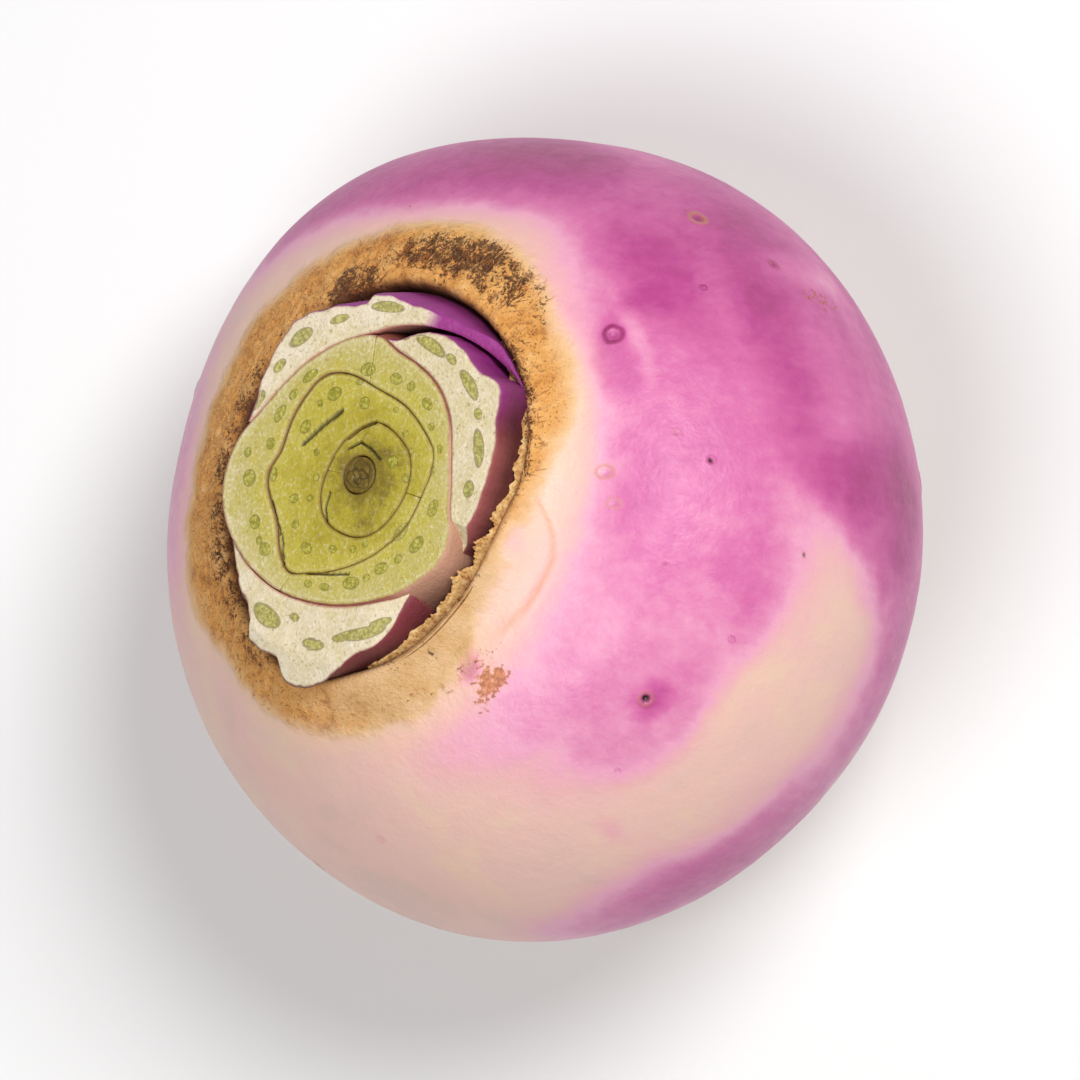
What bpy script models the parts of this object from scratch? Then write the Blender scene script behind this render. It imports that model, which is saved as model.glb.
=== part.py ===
"""A trimmed purple-top turnip, resting on a small flat spot on its underside.

The swollen root is one grown solid: skin, corky rim round the crown and the cut tap root.
The leaf stalks were cut off short, and each one's base is a solid of its own. The bases stand
in the dished crown in layers round the heart bud, every one inside the bend of the next.

Crown frame: the origin is the middle of the widest section, +Z runs out of the crown, and an
azimuth is measured about +Z from +X. The frame of the finished part has +Z up, the crown
leans towards -X, and the origin is the middle of the flat spot that the root rests on.
"""

import math

import bmesh
import bpy
from mathutils import Vector

MM = 0.001

# Driving dimensions
EQUATOR_RADIUS = 36.0 * MM      # widest section
CUT_HEIGHT = 29.4 * MM          # middle of the root to the knife cut across the leaf stalks
UNDERSIDE_DEPTH = 30.9 * MM     # middle of the root to where the tap root starts
TAPER_DEPTH = 1.5 * MM          # how much the underside is pointed, beyond an ellipsoid
TAIL_END = 33.2 * MM            # middle of the root to the cut end of the tap root
TAIL_RADIUS = 2.0 * MM          # cut end of the tap root
TAIL_NECK_RADIUS = 3.4 * MM     # tap root where it leaves the underside
CROWN_FLOOR = 23.6 * MM         # height of the dished crown that the leaf bases stand in
LEAN = math.radians(27.7)       # crown axis away from vertical
CROWN_TURN = math.radians(6.0)  # turn of the whole root about its own axis
REST_DEPTH = 0.9 * MM           # how far the flat spot is pressed into the underside
GAP = 0.35 * MM                 # space between neighbouring leaf bases
STEP = 8.0                      # degrees between the points of a leaf base's edges
ROOT_SEGMENTS = 72
HEART_SEGMENTS = 20
RIM_START = 18.0 * MM           # radius of the rim before it is bent to its own ring
LIP_HEIGHT = 2.4 * MM           # crown floor to the top of the rim before it is bent

# Low swellings that keep the root from being a true solid of revolution:
# (waves round the root, fraction of the radius, azimuth of the first swelling)
SWELLINGS = ((2, 0.006, 110.0), (3, 0.005, 20.0), (5, 0.0025, 75.0))
# One full shoulder and one lean one: azimuth, polar angle from the crown, their half widths in
# degrees, and the fraction of the radius gained there
SHOULDERS = ((138.0, 62.0, 52.0, 36.0, 0.055), (-118.0, 75.0, 62.0, 45.0, -0.012))

# Rings about the crown axis as (azimuth in degrees, radius or height in mm), joined smoothly.
RIM_RADIUS = ((0, 14.9), (24, 16.2), (50, 17.4), (98, 19.0), (125, 18.6), (165, 17.7),
              (221, 17.6), (262, 19.2), (290, 17.4), (309, 16.2), (335, 15.0))
RIM_HEIGHT = ((0, 26.4), (50, 25.9), (180, 25.8), (260, 25.9), (320, 27.0))
HEART_EDGE = ((0, 1.9),)
INNERMOST_EDGE = ((31, 5.6), (60, 5.2), (90, 5.0), (125, 3.9), (180, 3.4), (246, 4.9),
                  (270, 5.2), (301, 5.6), (343, 5.4))
INNER_EDGE = ((0, 7.3), (30, 8.1), (49, 7.7), (67, 7.6), (97, 7.9), (131, 10.2), (150, 9.8),
              (180, 9.0), (195, 9.8), (221, 9.2), (248, 10.7), (261, 9.6), (284, 8.2),
              (312, 7.4), (335, 7.3))
MIDDLE_EDGE = ((0, 10.5), (24, 9.8), (49, 10.6), (63, 11.0), (90, 11.5), (104, 12.7),
               (137, 12.4), (164, 12.6), (184, 14.0), (203, 14.6), (228, 13.6), (247, 12.7),
               (270, 11.8), (296, 11.6), (325, 12.2), (337, 12.5), (350, 11.7))
OUTER_EDGE = ((4, 13.4), (21, 14.2), (36, 15.2), (46, 16.3), (54, 15.2), (72, 15.0),
              (90, 15.8), (107, 16.4), (124, 16.1), (139, 16.5), (156, 15.0), (172, 14.6),
              (222, 15.2), (240, 15.9), (252, 17.6), (264, 18.6), (276, 18.6), (290, 16.6),
              (306, 15.2), (318, 14.4), (345, 13.6))

# Leaf bases: name, inner ring, outer ring, first and last azimuth, how far the inner and the
# outer face spread at the foot, heights of the cut at the first and last azimuth, colour
LEAF_BASES = (
    ("innermost_leaf_base", HEART_EDGE, INNERMOST_EDGE, 198, 532, 0.0, 0.1, 29.3, 29.3,
     (0.38, 0.36, 0.05)),
    ("inner_leaf_base", INNERMOST_EDGE, INNER_EDGE, 14, 346, 0.1, 0.3, 29.3, 29.3,
     (0.47, 0.42, 0.07)),
    ("middle_leaf_base_left", INNER_EDGE, MIDDLE_EDGE, 110, 249, 0.3, 0.6, 29.4, 29.4,
     (0.55, 0.50, 0.15)),
    ("middle_leaf_base_right", INNER_EDGE, MIDDLE_EDGE, -107, 104, 0.3, 0.6, 29.4, 29.4,
     (0.52, 0.45, 0.16)),
    ("outer_leaf_base_upper", MIDDLE_EDGE, OUTER_EDGE, 80, 174, 0.6, None, 29.4, 29.2,
     (0.72, 0.60, 0.38)),
    ("outer_leaf_base_right", MIDDLE_EDGE, OUTER_EDGE, -30, 75, 0.6, None, 27.0, 29.4,
     (0.66, 0.56, 0.32)),
    ("outer_leaf_base_lower", MIDDLE_EDGE, OUTER_EDGE, 219, 318, 0.6, None, 29.2, 29.0,
     (0.70, 0.58, 0.34)),
)
WING = 26.0                     # degrees over which a lowered end rises to the full height
FOOT_INSET = 1.55               # mm from the rim to the foot of the outermost leaf bases
TIP_SHARE = 0.3                 # share of the full thickness left at a leaf base's two ends
TIP_REACH = 22.0                # degrees over which a leaf base thins out to its ends

SKIN_COLOUR = (0.66, 0.26, 0.46)
HEART_COLOUR = (0.16, 0.11, 0.02)


def ring(points, azimuth):
    """Radius or height in metres at an azimuth, on a smooth closed curve through points."""
    count = len(points)
    if count == 1:
        return points[0][1] * MM
    azimuth %= 360.0
    index = max((i for i in range(count) if points[i][0] <= azimuth), default=count - 1)
    here, after = points[index], points[(index + 1) % count]
    before, beyond = points[index - 1], points[(index + 2) % count]
    span = (after[0] - here[0]) % 360.0
    t = ((azimuth - here[0]) % 360.0) / span
    start_slope = (after[1] - before[1]) / ((after[0] - before[0]) % 360.0) * span
    end_slope = (beyond[1] - here[1]) / ((beyond[0] - here[0]) % 360.0) * span
    value = ((2 * t ** 3 - 3 * t ** 2 + 1) * here[1] + (t ** 3 - 2 * t ** 2 + t) * start_slope
             + (3 * t ** 2 - 2 * t ** 3) * after[1] + (t ** 3 - t ** 2) * end_slope)
    return value * MM


def smooth(low, high, value):
    """0 below low, 1 above high and an even S between them."""
    t = min(1.0, max(0.0, (value - low) / (high - low)))
    return t * t * (3 - 2 * t)


def root_profile():
    """(radius, height) points of the root from the cut tail, round the skin, to the crown."""
    tail = [(0.0, -TAIL_END), (TAIL_RADIUS, -TAIL_END),
            (TAIL_RADIUS + 0.4 * MM, -TAIL_END + 0.5 * MM),
            (TAIL_NECK_RADIUS, -UNDERSIDE_DEPTH - 0.9 * MM)]
    underside = []
    ellipsoid_depth = UNDERSIDE_DEPTH - TAPER_DEPTH
    for degrees in range(-81, 0, 6):
        angle = math.radians(degrees)
        depth = ellipsoid_depth * math.sin(angle) + TAPER_DEPTH * math.sin(angle) ** 5
        underside.append((EQUATOR_RADIUS * math.cos(angle), depth))
    shoulder = []
    for degrees in range(0, 59, 6):
        angle = math.radians(degrees)
        shoulder.append((EQUATOR_RADIUS * math.cos(angle), CUT_HEIGHT * math.sin(angle)))
    return tail + underside + shoulder


def turned_solid(profile, segments):
    """bmesh of a profile turned about +Z, closed where it meets the axis."""
    mesh = bmesh.new()
    verts = [mesh.verts.new((radius, 0.0, height)) for radius, height in profile]
    edges = [mesh.edges.new(pair) for pair in zip(verts, verts[1:])]
    bmesh.ops.spin(mesh, geom=verts + edges, axis=(0, 0, 1), cent=(0, 0, 0), steps=segments,
                   angle=math.tau, use_merge=True)
    bmesh.ops.remove_doubles(mesh, verts=mesh.verts, dist=0.01 * MM)
    return mesh


def shoulder_swell(azimuth, polar):
    """Fraction of the radius that the uneven shoulders add at an azimuth and a polar angle."""
    total = 0.0
    for middle, height, wide, tall, gain in SHOULDERS:
        turn = (azimuth - middle + 180.0) % 360.0 - 180.0
        total += gain * smooth(1.0, 0.0, math.hypot(turn / wide, (polar - height) / tall))
    return total


def shape_root(mesh):
    """Add the swellings and the shoulders, and bend the inmost rings to the rim of the crown."""
    for vert in mesh.verts:
        radius = math.hypot(vert.co.x, vert.co.y)
        if radius < 0.1 * MM:
            continue
        azimuth = math.degrees(math.atan2(vert.co.y, vert.co.x))
        swell = sum(size * math.cos(math.radians(waves * (azimuth - first)))
                    for waves, size, first in SWELLINGS)
        polar = math.degrees(math.atan2(radius / EQUATOR_RADIUS, vert.co.z / CUT_HEIGHT))
        factor = 1 + swell * smooth(0.2, 0.8, radius / EQUATOR_RADIUS)
        factor += shoulder_swell(azimuth, polar)
        if vert.co.z > 0:
            reach = 1 - smooth(RIM_START, EQUATOR_RADIUS * 0.75, radius)
            factor *= 1 + reach * (ring(RIM_RADIUS, azimuth) / RIM_START - 1)
        vert.co.x *= factor
        vert.co.y *= factor


def root_solid():
    """The whole root: skin, rim of the crown, dished crown floor and trimmed tap root."""
    profile = root_profile()
    crown_steps = ((1.0, 0.55), (0.975, 0.92), (0.955, 0.75), (0.94, 0.0), (0.5, 0.0), (0.0, 0.0))
    profile += [(RIM_START * share, CROWN_FLOOR + rise * LIP_HEIGHT) for share, rise in crown_steps]
    mesh = turned_solid(profile, ROOT_SEGMENTS)
    shape_root(mesh)
    for vert in mesh.verts:
        radius = math.hypot(vert.co.x, vert.co.y)
        azimuth = math.degrees(math.atan2(vert.co.y, vert.co.x))
        rise = (vert.co.z - CROWN_FLOOR) / LIP_HEIGHT
        if radius < ring(RIM_RADIUS, azimuth) * 1.01 and 0 < rise < 1.1:
            vert.co.z = CROWN_FLOOR + rise * (ring(RIM_HEIGHT, azimuth) - CROWN_FLOOR)
    return mesh


def press_flat(mesh):
    """Cut the flat resting spot, and return its middle in the crown frame."""
    up = Vector((math.sin(LEAN), 0.0, math.cos(LEAN)))
    turn = math.cos(CROWN_TURN), math.sin(CROWN_TURN)
    up = Vector((up.x * turn[0], -up.x * turn[1], up.z))
    lowest = min(mesh.verts, key=lambda vert: vert.co.dot(up))
    level = lowest.co.dot(up) + REST_DEPTH
    geometry = mesh.verts[:] + mesh.edges[:] + mesh.faces[:]
    cut = bmesh.ops.bisect_plane(mesh, geom=geometry, plane_co=up * level, plane_no=up,
                                 clear_inner=True, dist=0.001 * MM)
    edges = [item for item in cut["geom_cut"] if isinstance(item, bmesh.types.BMEdge)]
    bmesh.ops.contextual_create(mesh, geom=edges)
    corners = [item.co for item in cut["geom_cut"] if isinstance(item, bmesh.types.BMVert)]
    return sum(corners, Vector()) / len(corners)


def leaf_base_solid(inner, outer, first, last, inner_spread, outer_spread, first_cut, last_cut):
    """A crescent wall between two rings, standing on the crown floor up to the knife cut."""
    count = max(6, round((last - first) / STEP))
    azimuths = [first + (last - first) * i / count for i in range(count + 1)]

    def outline(at_foot):
        rows = ([], [])
        for azimuth in azimuths:
            inside = ring(inner, azimuth) + GAP / 2
            outside = ring(outer, azimuth) - GAP / 2
            height = CROWN_FLOOR + GAP
            if at_foot:
                inside += inner_spread * MM
                outside += (outer_spread or 0.0) * MM
                if outer_spread is None:
                    outside = ring(RIM_RADIUS, azimuth) - FOOT_INSET * MM
            else:
                rise_in = smooth(0, WING, azimuth - first)
                rise_out = smooth(0, WING, last - azimuth)
                height = CUT_HEIGHT
                height -= (CUT_HEIGHT - first_cut * MM) * (1 - rise_in)
                height -= (CUT_HEIGHT - last_cut * MM) * (1 - rise_out)
            nearest = min(1.0, min(azimuth - first, last - azimuth) / TIP_REACH)
            share = TIP_SHARE + (1 - TIP_SHARE) * math.sin(math.radians(90 * nearest))
            middle, half = (inside + outside) / 2, (outside - inside) / 2 * share
            angle = math.radians(azimuth)
            for row, radius in zip(rows, (middle - half, middle + half)):
                row.append((radius * math.cos(angle), radius * math.sin(angle), height))
        return rows[1] + rows[0][::-1]

    mesh = bmesh.new()
    foot = [mesh.verts.new(point) for point in outline(True)]
    face = mesh.faces.new(foot)
    grown = bmesh.ops.extrude_face_region(mesh, geom=[face])["geom"]
    top = [item for item in grown if isinstance(item, bmesh.types.BMVert)]
    for low, point in zip(foot, outline(False)):
        match = next(vert for vert in top if (vert.co - low.co).length < 0.001 * MM)
        top.remove(match)
        match.co = point
    bmesh.ops.recalc_face_normals(mesh, faces=mesh.faces)
    return mesh


def heart_bud_solid():
    """The growing tip in the middle, cut through at the same height as the leaf stalks."""
    radius = HEART_EDGE[0][1] * MM - GAP / 2
    low = CROWN_FLOOR + GAP
    profile = [(0.0, low), (radius, low), (radius, CUT_HEIGHT - 0.7 * MM),
               (radius * 0.85, CUT_HEIGHT - 0.4 * MM), (0.0, CUT_HEIGHT - 0.3 * MM)]
    return turned_solid(profile, HEART_SEGMENTS)


def material(name, colour, roughness):
    """A plain finish: colour, roughness and no metal."""
    finish = bpy.data.materials.new(name)
    finish.use_nodes = True
    shader = finish.node_tree.nodes["Principled BSDF"]
    shader.inputs["Base Color"].default_value = (*colour, 1.0)
    shader.inputs["Roughness"].default_value = roughness
    shader.inputs["Metallic"].default_value = 0.0
    return finish


def add_object(name, mesh, finish, parent):
    """Put a finished bmesh in the scene as one named part, shaded smooth where it is round."""
    data = bpy.data.meshes.new(name)
    bmesh.ops.recalc_face_normals(mesh, faces=mesh.faces)
    mesh.to_mesh(data)
    mesh.free()
    data.shade_smooth()
    data.set_sharp_from_angle(angle=math.radians(40))
    data.materials.append(finish)
    part = bpy.data.objects.new(name, data)
    bpy.context.scene.collection.objects.link(part)
    part.parent = parent
    return part


def build():
    """Clear the scene and build the turnip in its resting pose."""
    for old in list(bpy.data.objects):
        bpy.data.objects.remove(old, do_unlink=True)

    pose = bpy.data.objects.new("crown_frame", None)
    bpy.context.scene.collection.objects.link(pose)
    root = root_solid()
    rest_middle = press_flat(root)
    pose.rotation_euler = (0.0, -LEAN, 0.0)
    spin = bpy.data.objects.new("crown_turn", None)
    bpy.context.scene.collection.objects.link(spin)
    spin.parent = pose
    spin.rotation_euler = (0.0, 0.0, CROWN_TURN)
    placed = pose.rotation_euler.to_matrix() @ spin.rotation_euler.to_matrix() @ rest_middle
    pose.location = -placed

    add_object("turnip_root", root, material("root_skin", SKIN_COLOUR, 0.45), spin)
    for name, inner, outer, first, last, spread_in, spread_out, cut_a, cut_b, colour in LEAF_BASES:
        solid = leaf_base_solid(inner, outer, first, last, spread_in, spread_out, cut_a, cut_b)
        add_object(name, solid, material(name + "_flesh", colour, 0.5), spin)
    add_object("heart_bud", heart_bud_solid(), material("heart_flesh", HEART_COLOUR, 0.5), spin)


build()
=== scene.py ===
"""The looks of a trimmed purple-top turnip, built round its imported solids.

The pieces are shaped in the crown frame, in millimetres: the origin is the middle of the widest
section, +Z runs out of the crown, an azimuth is measured in degrees about +Z from +X, and a
polar angle in degrees from the crown (0) over the widest section (90) to the tap root (180).
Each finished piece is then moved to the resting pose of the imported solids.
"""
import math
import random

import bmesh
import bpy
import numpy as np
from mathutils import Matrix, Vector


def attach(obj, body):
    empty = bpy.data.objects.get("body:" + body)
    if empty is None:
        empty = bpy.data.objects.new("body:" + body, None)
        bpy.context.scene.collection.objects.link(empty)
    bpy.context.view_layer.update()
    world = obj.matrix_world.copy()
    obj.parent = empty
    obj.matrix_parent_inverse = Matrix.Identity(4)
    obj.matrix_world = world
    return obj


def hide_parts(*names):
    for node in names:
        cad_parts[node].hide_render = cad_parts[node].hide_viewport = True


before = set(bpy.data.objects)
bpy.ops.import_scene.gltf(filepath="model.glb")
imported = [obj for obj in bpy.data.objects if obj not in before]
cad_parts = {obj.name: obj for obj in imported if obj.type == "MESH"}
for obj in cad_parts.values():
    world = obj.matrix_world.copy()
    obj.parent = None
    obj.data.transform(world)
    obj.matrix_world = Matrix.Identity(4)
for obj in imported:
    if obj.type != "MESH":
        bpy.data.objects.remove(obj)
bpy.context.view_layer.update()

MM = 0.001

# ---------------------------------------------------------------- driving sizes, millimetres
EQUATOR_RADIUS = 36.0
CUT_HEIGHT = 29.4               # knife cut of the crown above the widest section
TAPER_DEPTH = 1.5               # how much the underside is drawn out towards the tap root
CROWN_FLOOR = 23.6              # floor of the dished crown
RIM_LEVEL = 25.6                # height of the rim before it is lifted to RIM_HEIGHT
HEART_FOOT = 23.95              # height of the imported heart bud's foot
RIM_START = 18.0                # radius of the rim before it is bent to RIM_RADIUS
LEAN = math.radians(27.7)       # crown axis from vertical
CROWN_TURN = math.radians(6.0)  # turn of the crown about its own axis
# Waves round the root: how many, share of the radius, azimuth of the first crest
SWELLINGS = ((2, 0.006, 110.0), (3, 0.005, 20.0), (5, 0.0025, 75.0))
# One full shoulder and one lean one: azimuth, polar angle, their half widths, share gained
SHOULDERS = ((138.0, 62.0, 52.0, 36.0, 0.055), (-118.0, 75.0, 62.0, 45.0, -0.012))
GAP = 0.16                      # dark line between neighbouring leaf bases

# Rings about the crown axis: (azimuth, radius or height), joined by a smooth closed curve
RIM_RADIUS = ((0, 14.9), (24, 16.2), (50, 17.4), (98, 19.0), (125, 18.6), (165, 17.7),
              (221, 17.6), (262, 19.2), (290, 17.4), (309, 16.2), (335, 15.0))
RIM_HEIGHT = ((0, 26.4), (50, 25.9), (180, 25.8), (260, 25.9), (320, 27.0))
HEART_EDGE = ((0, 1.75), (90, 1.9), (180, 1.7), (270, 1.6))
INNERMOST_EDGE = ((31, 5.6), (60, 5.2), (90, 5.0), (125, 3.9), (180, 3.4), (246, 4.9),
                  (270, 5.2), (301, 5.6), (343, 5.4))
INNER_EDGE = ((0, 7.3), (30, 8.1), (49, 7.7), (67, 7.6), (97, 7.9), (131, 10.2), (150, 9.8),
              (180, 9.0), (195, 9.8), (221, 9.2), (248, 10.7), (261, 9.6), (284, 8.2),
              (312, 7.4), (335, 7.3))
MIDDLE_EDGE = ((0, 10.5), (24, 9.8), (49, 10.6), (63, 11.0), (90, 11.5), (104, 12.7),
               (137, 12.4), (164, 12.6), (184, 14.0), (203, 14.6), (228, 13.6), (247, 12.7),
               (270, 11.8), (296, 11.6), (325, 12.2), (337, 12.5), (350, 11.7))
UPPER_LEAF_INNER = ((45, 16.5), (60, 15.9), (72, 15.3), (82, 14.6), (98, 13.5), (108, 12.8),
                    (137, 12.4), (164, 12.6), (184, 14.0), (300, 15.0))
UPPER_LEAF_OUTER = ((45, 17.2), (60, 17.1), (76, 16.2), (90, 15.9), (107, 16.5), (110, 15.7),
                    (124, 16.1), (139, 16.5), (156, 15.0), (172, 14.6), (270, 16.0))
RIGHT_LEAF_OUTER = ((4, 13.4), (21, 14.2), (36, 15.2), (46, 16.3), (54, 15.2), (72, 14.9),
                    (82, 14.3), (98, 13.3), (140, 13.0), (250, 13.4), (330, 13.2), (345, 12.9))
LOWER_LEAF_OUTER = ((222, 14.9), (238, 15.4), (248, 16.3), (251, 17.9), (262, 17.8),
                    (266, 19.4), (276, 19.0), (285, 17.4), (292, 16.2), (306, 15.3), (318, 14.2),
                    (90, 15.0))


# ---------------------------------------------------------------- measuring helpers
def ring(points, azimuth):
    """Radius or height at each azimuth, on a smooth closed curve through the points."""
    points = sorted(points)
    angles = np.array([p[0] for p in points], float)
    sizes = np.array([p[1] for p in points], float)
    azimuth = np.mod(np.asarray(azimuth, float), 360.0)
    here = (np.searchsorted(angles, azimuth, side="right") - 1) % len(points)
    after, before, beyond = (here + 1) % len(points), here - 1, (here + 2) % len(points)

    def gap(first, last):
        return np.where(first == last, 360.0, np.mod(angles[last] - angles[first], 360.0))

    span = gap(here, after)
    t = np.mod(azimuth - angles[here], 360.0) / span
    start_slope = (sizes[after] - sizes[before]) / gap(before, after) * span
    end_slope = (sizes[beyond] - sizes[here]) / gap(here, beyond) * span
    return ((2 * t ** 3 - 3 * t ** 2 + 1) * sizes[here] + (t ** 3 - 2 * t ** 2 + t) * start_slope
            + (3 * t ** 2 - 2 * t ** 3) * sizes[after] + (t ** 3 - t ** 2) * end_slope)


def smooth(low, high, value):
    """0 below low, 1 above high and an even S between them."""
    t = np.clip((np.asarray(value, float) - low) / (high - low), 0.0, 1.0)
    return t * t * (3 - 2 * t)


def turn_between(azimuth, middle):
    """Signed turn in degrees from middle to azimuth, the short way round."""
    return np.mod(azimuth - middle + 180.0, 360.0) - 180.0


def lattice_noise(places):
    """Smooth noise from -1 to 1 between random values on a lattice one unit wide."""
    corner = np.floor(places).astype(np.int64)
    share = places - corner
    share = share * share * (3 - 2 * share)
    total = np.zeros(len(places))
    for step in np.ndindex(2, 2, 2):
        x, y, z = (corner + step).T
        mixed = (x * 73856093) ^ (y * 19349663) ^ (z * 83492791)
        mixed = (mixed ^ (mixed >> 13)) * 1274126177 & 0x7FFFFFFF
        mixed = (mixed ^ (mixed >> 16)) & 0xFFFF
        weight = np.prod(np.where(step, share, 1 - share), axis=1)
        total += weight * (mixed / 32767.5 - 1)
    return total


def grain(points, size, octaves=3, seed=0.0):
    """Cloudy noise from about -1 to 1 at each point; size is its coarsest grain in mm."""
    scaled = np.asarray(points, float) / size + seed * 17.31
    return sum(0.62 * 0.5 ** octave * lattice_noise(scaled * 2 ** octave + 31.7 * octave)
               for octave in range(octaves))


def spherical(points):
    """Radius from the axis, azimuth and polar angle of points in the crown frame."""
    radius = np.hypot(points[:, 0], points[:, 1])
    azimuth = np.degrees(np.arctan2(points[:, 1], points[:, 0]))
    polar = np.degrees(np.arctan2(radius / EQUATOR_RADIUS, points[:, 2] / CUT_HEIGHT))
    return radius, azimuth, polar


# ---------------------------------------------------------------- crown frame to resting pose
def crown_to_rest():
    """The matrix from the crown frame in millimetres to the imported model's frame in metres."""
    lean = Matrix.Rotation(-LEAN, 4, "Y") @ Matrix.Rotation(CROWN_TURN, 4, "Z")
    axis = (lean @ Vector((0, 0, 1))).normalized()
    corners = [v.co.copy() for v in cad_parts["heart_bud"].data.vertices]
    lowest = min(c.dot(axis) for c in corners)
    foot = {tuple(round(x, 7) for x in c) for c in corners if c.dot(axis) < lowest + 0.02 * MM}
    centre = sum(map(Vector, sorted(foot)), Vector()) / len(foot)
    middle = centre - axis * HEART_FOOT * MM
    return Matrix.Translation(middle) @ lean @ Matrix.Scale(MM, 4)


REST = crown_to_rest()


# ---------------------------------------------------------------- mesh helpers
MERGE_DISTANCE = 0.0005


def turned(profile, steps):
    """A bmesh of an (x, z) profile turned once round +Z, closed on itself."""
    mesh = bmesh.new()
    verts = [mesh.verts.new((x, 0.0, z)) for x, z in profile]
    edges = [mesh.edges.new(pair) for pair in zip(verts, verts[1:])]
    bmesh.ops.spin(mesh, geom=verts + edges, axis=(0, 0, 1), cent=(0, 0, 0), steps=steps,
                   angle=math.radians(360.0), use_merge=True)
    bmesh.ops.remove_doubles(mesh, verts=mesh.verts, dist=MERGE_DISTANCE)
    return mesh


def turned_part_way(loop, first, last, steps):
    """A bmesh of a closed (x, z) loop turned about +Z between two azimuths, its ends capped."""
    mesh = bmesh.new()
    start = math.radians(first)
    verts = [mesh.verts.new((x * math.cos(start), x * math.sin(start), z)) for x, z in loop]
    edges = [mesh.edges.new(pair) for pair in zip(verts, verts[1:] + verts[:1])]
    bmesh.ops.spin(mesh, geom=verts + edges, axis=(0, 0, 1), cent=(0, 0, 0), steps=steps,
                   angle=math.radians(last - first))
    ends = [edge for edge in mesh.edges if edge.is_boundary]
    bmesh.ops.holes_fill(mesh, edges=ends, sides=0)
    return mesh


def coordinates(mesh):
    """The mesh's vertex places as an array."""
    return np.array([v.co for v in mesh.verts], float).reshape(-1, 3)


def move_to(mesh, points):
    """Puts the mesh's vertices at the given places."""
    for vert, point in zip(mesh.verts, points):
        vert.co = point


def outward(mesh, points):
    """Outward directions at the vertices, once they are at the given places."""
    bmesh.ops.recalc_face_normals(mesh, faces=mesh.faces)
    move_to(mesh, points)
    mesh.normal_update()
    normals = np.array([v.normal for v in mesh.verts], float)
    away = np.sum(normals * points, axis=1).sum()
    return normals if away > 0 else -normals


def finished(name, mesh, masks, finish, replaces=()):
    """Makes a piece of a bmesh in the crown frame: resting pose, masks, finish and frame calls."""
    bmesh.ops.recalc_face_normals(mesh, faces=mesh.faces)
    mesh.transform(REST)
    data = bpy.data.meshes.new(name)
    mesh.to_mesh(data)
    mesh.free()
    for mask, values in masks.items():
        layer = data.attributes.new(mask, "FLOAT", "POINT")
        layer.data.foreach_set("value", np.asarray(values, np.float32))
    data.shade_smooth()
    data.materials.append(finish)
    piece = bpy.data.objects.new(name, data)
    bpy.context.scene.collection.objects.link(piece)
    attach(piece, "root")
    if replaces:
        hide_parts(*replaces)
    return piece


# ---------------------------------------------------------------- finishes
def paint(red, green, blue):
    """A colour given as 0-255 screen values, as the linear values a shader takes."""
    def linear(value):
        value /= 255.0
        return value / 12.92 if value <= 0.04045 else ((value + 0.055) / 1.055) ** 2.4
    return linear(red), linear(green), linear(blue), 1.0


class Flow:
    """A value, colour or vector in a finish's nodes; arithmetic on it adds Math nodes."""

    def __init__(self, finish, socket):
        self.finish = finish
        self.socket = socket

    def __add__(self, other):
        return self.finish.math("ADD", self, other)

    def __sub__(self, other):
        return self.finish.math("SUBTRACT", self, other)

    def __rsub__(self, other):
        return self.finish.math("SUBTRACT", other, self)

    def __mul__(self, other):
        return self.finish.math("MULTIPLY", self, other)

    __radd__ = __add__
    __rmul__ = __mul__


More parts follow.
